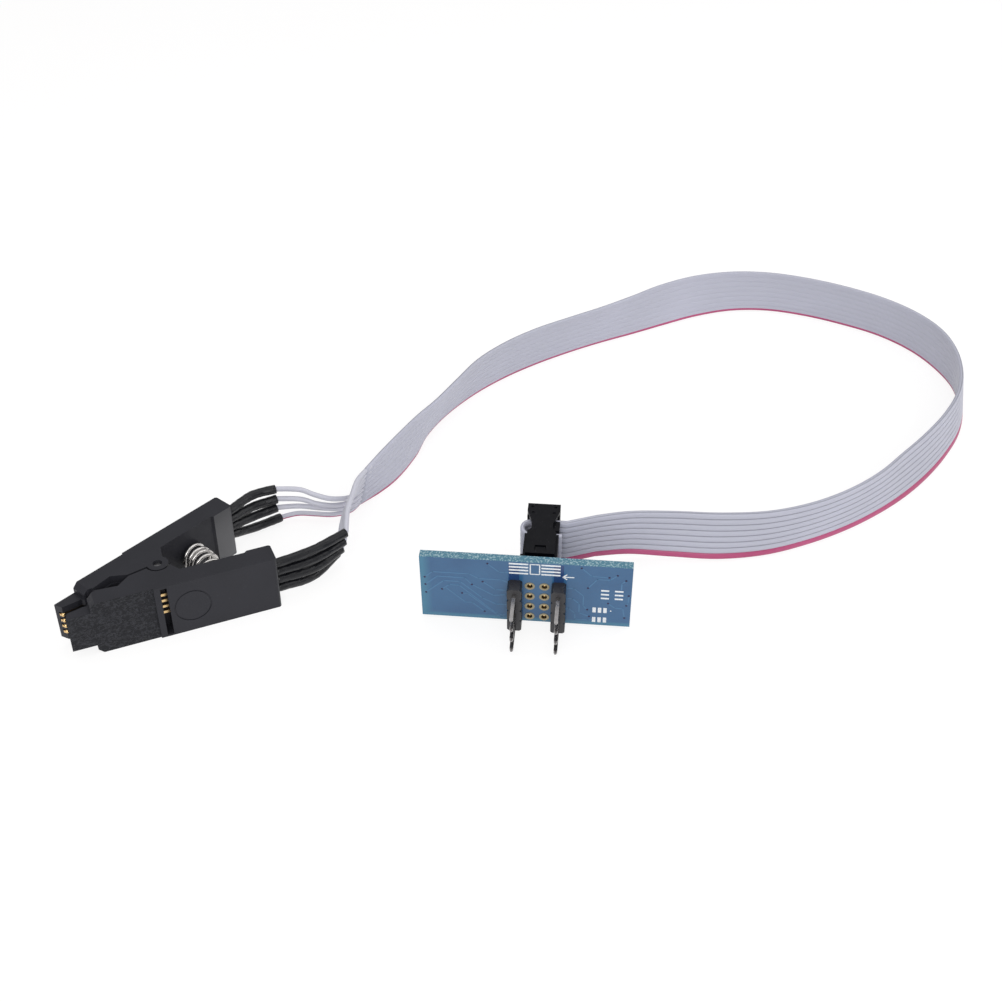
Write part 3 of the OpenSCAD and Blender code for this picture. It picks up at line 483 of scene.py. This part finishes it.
def paint(node, mat, bevel=None):
    """Gives a CAD node its material and, in millimetres, its moulded edge radius."""
    obj = frame["nodes"][node]
    obj.data.materials.clear()
    obj.data.materials.append(mat)
    if bevel:
        made = obj.modifiers.new("edges", "BEVEL")
        made.width = bevel * MM
        made.segments = 2
        made.limit_method = "ANGLE"
        made.angle_limit = math.radians(38)
        made.harden_normals = True
    return obj


for side in ("left", "right"):
    paint(f"{side}_lever", LEVER_PLASTIC[side], 0.09)
    paint(f"{side}_header", HEADER_PLASTIC, 0.07)
    paint(f"{side}_pins", TIN, 0.05)
    for i in range(1, 5):
        paint(f"contact_{side}_{i}", GOLD)
paint("hinge_pin", PIN_STEEL, 0.06)
paint("socket_body", SOCKET_PLASTIC, 0.07)
paint("socket_cover", SOCKET_PLASTIC, 0.07)
paint("strain_relief", SOCKET_PLASTIC, 0.06)
paint("socket_contacts", GOLD)
paint("adapter_board", BOARD_MASK, 0.04)
paint("plated_holes", DULL_GOLD)
paint("cable_header", HEADER_PLASTIC, 0.07)
paint("cable_pins", GOLD)

# ---- Ribbon ----------------------------------------------------------------

# Places of the section's points across one lobe, as shares of half the pitch
LOBE = (-1, -0.84, -0.64, -0.34, 0.0, 0.34, 0.64, 0.84)
# Half thickness of the ribbon's outer edges, and of the webs on its ribbed and its flatter face
EDGE_HALF_T, RIBBED_WEB, FLAT_WEB = 0.1, 0.17, 0.34


def ribbon_section(web, narrow):
    """One face as (height, depth) up the ribbon: eight soft lobes joined by thin webs.

    Each lobe's width is multiplied by narrow.
    """
    full = RIBBON_T / 2
    made = []
    for k in range(CONDUCTORS):
        for s in LOBE:
            h = (k - MIDDLE) * PITCH + s * PITCH / 2 * (1 if s == -1 else narrow)
            made.append((h, web + (full - web) * (1 - abs(s) ** 2) ** 0.55))
    made.append((HALF_RIBBON, web))
    made[0] = (-HALF_RIBBON, EDGE_HALF_T)
    made[-1] = (HALF_RIBBON, EDGE_HALF_T)
    return made


def make_ribbon():
    """The lobed ribbon, and its middle line in metres."""
    frames = ribbon_frames()
    rings = []
    for k, (p, up, out) in enumerate(frames):
        # The conductors part from each other over the first stretch
        joined = min(1.0, 0.06 + 0.24 * k)
        narrow = 0.78 + 0.22 * joined
        ribbed = ribbon_section(RIBBED_WEB * joined, narrow)
        flat = ribbon_section(FLAT_WEB * joined, narrow)
        ring = [p + (h * up + t * out) * MM for h, t in ribbed]
        ring += [p + (h * up - t * out) * MM for h, t in reversed(flat)]
        rings.append(ring)
    verts, faces = skin(rings)
    m, per_lobe = len(rings[0]), len(LOBE)
    # The marked conductor is printed on the left face and round the lower edge
    red = set(range(per_lobe)) | {m - 1 - j for j in range(5)}
    # Painted shade: the grooves between the lobes on the ribbed face take the darker PVC, for the shade
    # that falls in them
    shaded_grooves = {per_lobe * k + j for k in range(CONDUCTORS) for j in (0, per_lobe - 1)}
    around = [1 if j in red else 2 if j in shaded_grooves else 0 for j in range(m)]
    kinds = around * (len(rings) - 1) + [0, 0]
    obj = mesh_object("ribbon", verts, faces, [GREY_PVC, RED_PVC, GROOVE_SHADE_PVC], kinds)
    return obj, [p for p, up, out in frames]


ribbon, ribbon_path = make_ribbon()
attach(ribbon, RIGHT)
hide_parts("ribbon_cable")

# ---- Sleeves and strands ---------------------------------------------------

# Mean radius of a shrunk sleeve, and length that it runs straight on behind the handle
SLEEVE_R, SLEEVE_STRAIGHT = 0.86, 1.2
# Radius of a strand where it enters the ribbon
JOINED_R = 0.42


def sleeve_path(side, i):
    """A sleeve's middle line in metres, from inside its pocket to its free end."""
    sign = 1 if side == "left" else -1
    z = MID_Z + (i - 1.5) * SLEEVE_PITCH
    route = []
    for u in (POCKET_U + 0.3, HANDLE_LEN, HANDLE_LEN + SLEEVE_STRAIGHT):
        x, y = clip_xy(u, SLEEVE_V)
        route.append((x, sign * y, z))
    route += [SLEEVE_BENDS[side][i], SLEEVE_ENDS[side][i]]
    return [at(*p) for p in spline(route, WIRE_STEPS)]


def make_sleeve(side, i):
    """Shrunk sleeve with uneven girth and a rounded mouth, and its middle line."""
    rng = random.Random(17 + 10 * i + (5 if side == "left" else 0))
    path = sleeve_path(side, i)
    a, b, c = (rng.uniform(0, 6.28) for _ in range(3))
    radii = [SLEEVE_R * MM * (1 + 0.022 * math.sin(0.9 * k + a) + 0.018 * math.sin(2.3 * k + b)
                          + 0.012 * math.sin(3.7 * k + c)) for k in range(len(path))]
    rings = tube_rings(path, radii, 22)
    tip = path[-1]
    back = (path[-2] - path[-1]).normalized()
    # The mouth turns in: millimetres back from the tip, and share of the girth
    for inset, share in ((0.02, 0.93), (0.06, 0.8), (0.5, 0.66)):
        rings.append([tip + (p - tip) * share + back * inset * MM for p in rings[len(path) - 1]])
    verts, faces = skin(rings)
    obj = mesh_object(f"sleeve_{side}_{i + 1}_shrunk", verts, faces,
                      [sleeve_look(i + (4 if side == "left" else 0))])
    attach(obj, LEFT if side == "left" else RIGHT)
    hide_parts(f"sleeve_{side}_{i + 1}")
    return obj, path


def make_strand(side, i, sleeve):
    """Split strand from 1.2 mm inside its sleeve to 1.6 mm inside the ribbon, thinner at that end."""
    end = Vector(SLEEVE_ENDS[side][i])
    inside = end + (sleeve[-3] - sleeve[-1]).normalized() * 1.2
    k = i if side == "left" else i + 4
    join = conductor_start(k)
    within = join + level(RIBBON_HEADING) * 1.6
    route = [inside, end] + [Vector(p) for p in STRAND_BENDS[side][i]] + [join, within]
    path = [at(*p) for p in spline(route, WIRE_STEPS)]
    radii = [STRAND_R * MM] * len(path)
    taper = 18
    for n in range(taper):
        radii[-1 - n] = (JOINED_R + 0.01 * max(n - 10, 0)) * MM
    sides = 18
    rings = tube_rings(path, radii, sides)
    verts, faces = skin(rings)
    marked = side == "left" and i == 0
    # The marked strand keeps the print on its lower side
    kinds = None
    if marked:
        around = [1 if j >= 10 else 0 for j in range(sides)]
        kinds = around * (len(rings) - 1) + [0, 0]
    obj = mesh_object(f"strand_{side}_{i + 1}_wire", verts, faces, [STRAND_LIT_PVC, RED_PVC], kinds)
    if side == "left":
        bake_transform(obj)
    else:
        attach(obj, RIGHT)
    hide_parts(f"strand_{side}_{i + 1}")
    return obj


on_cable = []
for side in ("left", "right"):
    for i in range(4):
        sleeve, route = make_sleeve(side, i)
        on_cable += [sleeve, make_strand(side, i, route)]

on_cable += ["socket_body", "socket_cover", "strain_relief", "socket_contacts"]

# ---- Spring ----------------------------------------------------------------

def make_spring():
    """Bright coil, bowed between the two handles' inner faces, which lean apart."""
    seat = clip_xy(SPRING_U, SPRING_V)
    bow = seat[1] / math.sin(HALF_ANGLE)
    coil_r = (SPRING_D - SPRING_WIRE) / 2
    # The ends stop just short of the seats, because the wire has thickness
    reach = HALF_ANGLE * (1 - SPRING_WIRE * 0.62 / seat[1])
    n = SPRING_TURNS * 30
    path = []
    for k in range(n + 1):
        s = k / n
        # The pitch is wider at both ends and in the middle than between them
        eased = s + 0.055 * math.sin(4 * math.pi * s) * 0.5
        t = reach * (1 - 2 * eased)
        turn = 2 * math.pi * SPRING_TURNS * s
        centre = Vector((seat[0] + bow * (math.cos(t) - math.cos(HALF_ANGLE)),
                         bow * math.sin(t), MID_Z))
        out = Vector((math.cos(t), math.sin(t), 0))
        path.append(at(*(centre + coil_r * (math.cos(turn) * out
                                            + math.sin(turn) * Vector((0, 0, 1))))))
    rings = tube_rings(path, [SPRING_WIRE / 2 * MM] * len(path), 12)
    verts, faces = skin(rings)
    obj = mesh_object("coil_spring", verts, faces, [SPRING_STEEL])
    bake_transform(obj)
    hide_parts("spring")


make_spring()

# ---- Board's printed marks, pads, tracks and vias --------------------------

def plates(name, mat, boxes, rise=0.02):
    """Thin plates on the board's front face: each is a list of (x, z) corners."""
    verts, faces = [], []
    for corners in boxes:
        n, m = len(corners), len(verts)
        verts += [board(x, 0.005, z) for x, z in corners]
        verts += [board(x, -rise, z) for x, z in corners]
        faces.append([m + j for j in range(n)])
        faces.append([m + n + j for j in reversed(range(n))])
        faces += [[m + j, m + n + j, m + n + (j + 1) % n, m + (j + 1) % n] for j in range(n)]
    obj = mesh_object(name, verts, faces, [mat], smooth=False)
    bm = bmesh.new()
    bm.from_mesh(obj.data)
    bmesh.ops.recalc_face_normals(bm, faces=bm.faces)
    bm.to_mesh(obj.data)
    bm.free()
    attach(obj, ADAPTER)
    return obj


def bar(x0, x1, z, tall):
    """Corners of an upright rectangle from x0 to x1, with its middle at height z."""
    return [(x0, z - tall / 2), (x1, z - tall / 2), (x1, z + tall / 2), (x0, z + tall / 2)]


def line(points, w):
    """Strips of width w between neighbouring points, overlapping at the corners."""
    made = []
    for (x0, z0), (x1, z1) in zip(points, points[1:]):
        d = Vector((x1 - x0, z1 - z0)).normalized()
        s = Vector((-d.y, d.x)) * w / 2
        a, b = Vector((x0, z0)) - d * w * 0.4, Vector((x1, z1)) + d * w * 0.4
        made.append([tuple(a - s), tuple(b - s), tuple(b + s), tuple(a + s)])
    return made


def disc(x, z, r, n=20):
    """Corners of a round plate."""
    return [(x + r * math.cos(2 * math.pi * k / n), z + r * math.sin(2 * math.pi * k / n))
            for k in range(n)]


def printed_look():
    """White ink, slightly uneven."""
    look = Look("white_print", (0.78, 0.80, 0.82), 0.6)
    look.colour(look.mix(look.mapped(look.noise(4.0, 3.0), 0.35, 0.65),
                         (0.66, 0.70, 0.74), (0.84, 0.85, 0.86)))
    look.bump(look.noise(8.0, 2.0), 0.004, 0.5)
    return look.mat


def track_look(name, colour):
    """Solder mask over copper, in the tone it takes there."""
    look = Look(name, colour, 0.3, 0.0, Coat_Weight=0.25)
    look.colour(look.mix(look.noise(0.2, 3.0), [c * 0.9 for c in colour], [c * 1.1 for c in colour]))
    look.bump(look.noise(1.5, 2.0), 0.005, 0.4)
    return look.mat


# Printed marks: two groups of stripes, an outline between them, an arrow, pads and a dot
STRIPE_ROWS, STRIPE_T = (9.05, 8.30, 7.55, 6.80), 0.34
PAD_ROWS, PAD_T = (3.7, 2.75, 1.8), 0.36
marks = [bar(-4.88, -1.55, z, STRIPE_T) for z in STRIPE_ROWS]
marks += [bar(0.71, 4.01, z, STRIPE_T) for z in STRIPE_ROWS]
marks += line([(-1.2, 9.12), (0.42, 9.12), (0.42, 6.76), (-1.2, 6.76), (-1.2, 9.12)], 0.2)
marks += line([(4.5, 6.5), (6.3, 6.5)], 0.22)
marks += line([(5.1, 7.05), (4.45, 6.5), (5.1, 5.95)], 0.22)
marks += [bar(11.1, 12.5, z, PAD_T) for z in PAD_ROWS]
marks += [bar(13.5, 14.95, z, PAD_T) for z in PAD_ROWS]
marks += [bar(x - 0.3, x + 0.3, z, 1.25) for x in (10.05, 11.0, 11.95) for z in (-1.25, -3.7)]
marks.append(disc(12.95, -1.3, 0.14))
plates("board_print", printed_look(), marks)

# Vias, and tracks that run between them and the pins, as (x, z) on the board's front
VIAS = [(-8.58, 8.7), (-9.48, 4.2), (-11.37, 3.34), (-19.6, 4.55), (-19.55, 2.73),
        (-19.5, 0.75), (-16.64, 1.76), (-13.15, 1.03), (-9.27, -3.3), (7.62, 8.9),
        (12.4, 6.97), (13.8, 7.6), (15.3, 6.44), (8.82, 4.13), (15.9, 2.75), (12.43, 0.57),
        (15.6, 0.27), (8.82, -1.29), (9.19, -3.0), (15.4, -2.87)]
TRACKS = [
    [(-19.6, 4.55), (-18.2, 5.95), (-11.8, 5.95), (-10.2, 4.9), (-6.2, 4.9), (-3.81, 3.81)],
    [(-19.55, 2.73), (-17.4, 4.9), (-12.6, 4.9), (-11.37, 3.34)],
    [(-19.5, 0.75), (-16.3, 3.9), (-13.4, 3.9), (-9.6, 0.1), (-7.2, -1.27), (-3.81, -1.27)],
    [(-16.64, 1.76), (-15.4, 2.95), (-13.6, 2.95), (-9.0, -1.7), (-7.0, -3.81), (-3.81, -3.81)],
    [(-13.15, 1.03), (-12.2, 1.03), (-8.2, -2.9), (-6.4, -4.5), (-1.6, -4.5)],
    [(-11.37, 3.34), (-7.6, 0.9), (-5.4, 1.27), (-3.81, 1.27)],
    [(-9.48, 4.2), (-7.3, 2.4), (-5.6, 2.4)],
    [(-9.27, -3.3), (-11.4, -1.2), (-12.6, -1.2), (-15.9, 2.1)],
    [(-8.58, 8.7), (-6.6, 6.8), (-5.6, 6.8), (-4.88, 6.8)],
    [(3.81, 3.81), (6.4, 3.81), (8.1, 2.1), (8.1, -0.4), (8.82, -1.29)],
    [(3.81, 1.27), (6.2, 1.27), (7.4, 0.1), (7.4, -2.2), (9.19, -3.0)],
    [(3.81, -1.27), (5.6, -1.27), (6.7, -2.4), (6.7, -3.9), (9.0, -3.9), (10.2, -3.7)],
    [(7.62, 8.9), (9.4, 7.1), (12.4, 6.97)],
    [(13.8, 7.6), (12.6, 6.4), (10.4, 6.4), (8.82, 4.13)],
    [(15.3, 6.44), (14.6, 5.7), (14.6, 4.2)],
    [(15.9, 2.75), (15.9, 0.9), (15.6, 0.27)],
    [(12.43, 0.57), (13.6, -0.5), (15.0, -0.5), (15.4, -2.87)]]
TRACK_W, VIA_R = 0.22, 0.2
plates("board_tracks", track_look("track_mask", (0.044, 0.150, 0.295)),
       [strip for track in TRACKS for strip in line(track, TRACK_W)], 0.012)
plates("board_copper", track_look("pour_mask", (0.008, 0.042, 0.145)),
       [[(-4.95, 4.5), (-3.1, 4.5), (-3.1, 8.6), (-4.95, 8.6)],
        [(2.9, 4.3), (4.6, 4.3), (4.6, 9.2), (2.9, 9.2)]], 0.008)
plates("board_vias", metal("via_dark", (0.06, 0.05, 0.10), 0.5),
       [disc(x, z, VIA_R) for x, z in VIAS], 0.016)

# Half of the floor's side and its height, in metres: a hair below the object
FLOOR_HALF, FLOOR_Z = 3.0, -0.00004


def make_floor():
    """White paper that is pale and even where it is seen, and plain diffuse for other rays."""
    corners = [(x * FLOOR_HALF, y * FLOOR_HALF, FLOOR_Z)
               for x, y in ((-1, -1), (1, -1), (1, 1), (-1, 1))]
    obj = mesh_object("floor", corners, [[0, 1, 2, 3]], [], smooth=False)
    mat = bpy.data.materials.new("floor_paper")
    mat.use_nodes = True
    tree = mat.node_tree
    tree.nodes.clear()
    out, diffuse, pale, glow, both, mix, rays, seen, shown = (
        tree.nodes.new("ShaderNode" + kind) for kind in (
            "OutputMaterial", "BsdfDiffuse", "BsdfDiffuse", "Emission", "AddShader", "MixShader",
            "LightPath", "Math", "Math"))
    diffuse.inputs["Color"].default_value = (0.9, 0.9, 0.9, 1)
    pale.inputs["Color"].default_value = (0.20, 0.195, 0.195, 1)
    glow.inputs["Color"].default_value = (1, 1, 1, 1)
    glow.inputs["Strength"].default_value = 0.84
    seen.operation = shown.operation = "MAXIMUM"
    for a, b in ((rays.outputs["Is Camera Ray"], seen.inputs[0]),
                 (rays.outputs["Is Glossy Ray"], seen.inputs[1]),
                 (seen.outputs[0], shown.inputs[0]),
                 (rays.outputs["Is Transmission Ray"], shown.inputs[1]),
                 (pale.outputs[0], both.inputs[0]), (glow.outputs[0], both.inputs[1]),
                 (shown.outputs[0], mix.inputs[0]), (diffuse.outputs[0], mix.inputs[1]),
                 (both.outputs[0], mix.inputs[2]), (mix.outputs[0], out.inputs["Surface"])):
        tree.links.new(a, b)
    obj.data.materials.append(mat)


def lamp(name, place, toward, size, power):
    """Soft rectangular lamp at place, aimed at toward, with its size in metres."""
    data = bpy.data.lights.new(name, "AREA")
    data.shape = "RECTANGLE"
    data.size, data.size_y = size
    data.energy = power
    obj = bpy.data.objects.new(name, data)
    bpy.context.scene.collection.objects.link(obj)
    obj.location = place
    obj.rotation_mode = "QUATERNION"
    obj.rotation_quaternion = (Vector(toward) - Vector(place)).to_track_quat("-Z", "Y")


make_floor()
middle = at(70, -15, 0)
lamp("key", at(-250, -420, 330), middle, (0.5, 0.4), 1.85)
lamp("fill", at(420, -260, 260), middle, (0.5, 0.4), 0.75)
lamp("top", at(60, 60, 520), middle, (0.6, 0.5), 0.9)

world = bpy.data.worlds.new("studio")
bpy.context.scene.world = world
world.use_nodes = True
sky = world.node_tree.nodes["Background"]
sky.inputs["Color"].default_value = (1, 1, 1, 1)
# The world lights the object with 0.45, and looks white where the camera sees it
seen_sky = world.node_tree.nodes.new("ShaderNodeMapRange")
seen_sky.inputs["To Min"].default_value = 0.45
seen_sky.inputs["To Max"].default_value = 1.0
sky_ray = world.node_tree.nodes.new("ShaderNodeLightPath")
world.node_tree.links.new(sky_ray.outputs["Is Camera Ray"], seen_sky.inputs["Value"])
world.node_tree.links.new(seen_sky.outputs["Result"], sky.inputs["Strength"])
bpy.context.scene.view_settings.view_transform = "Standard"
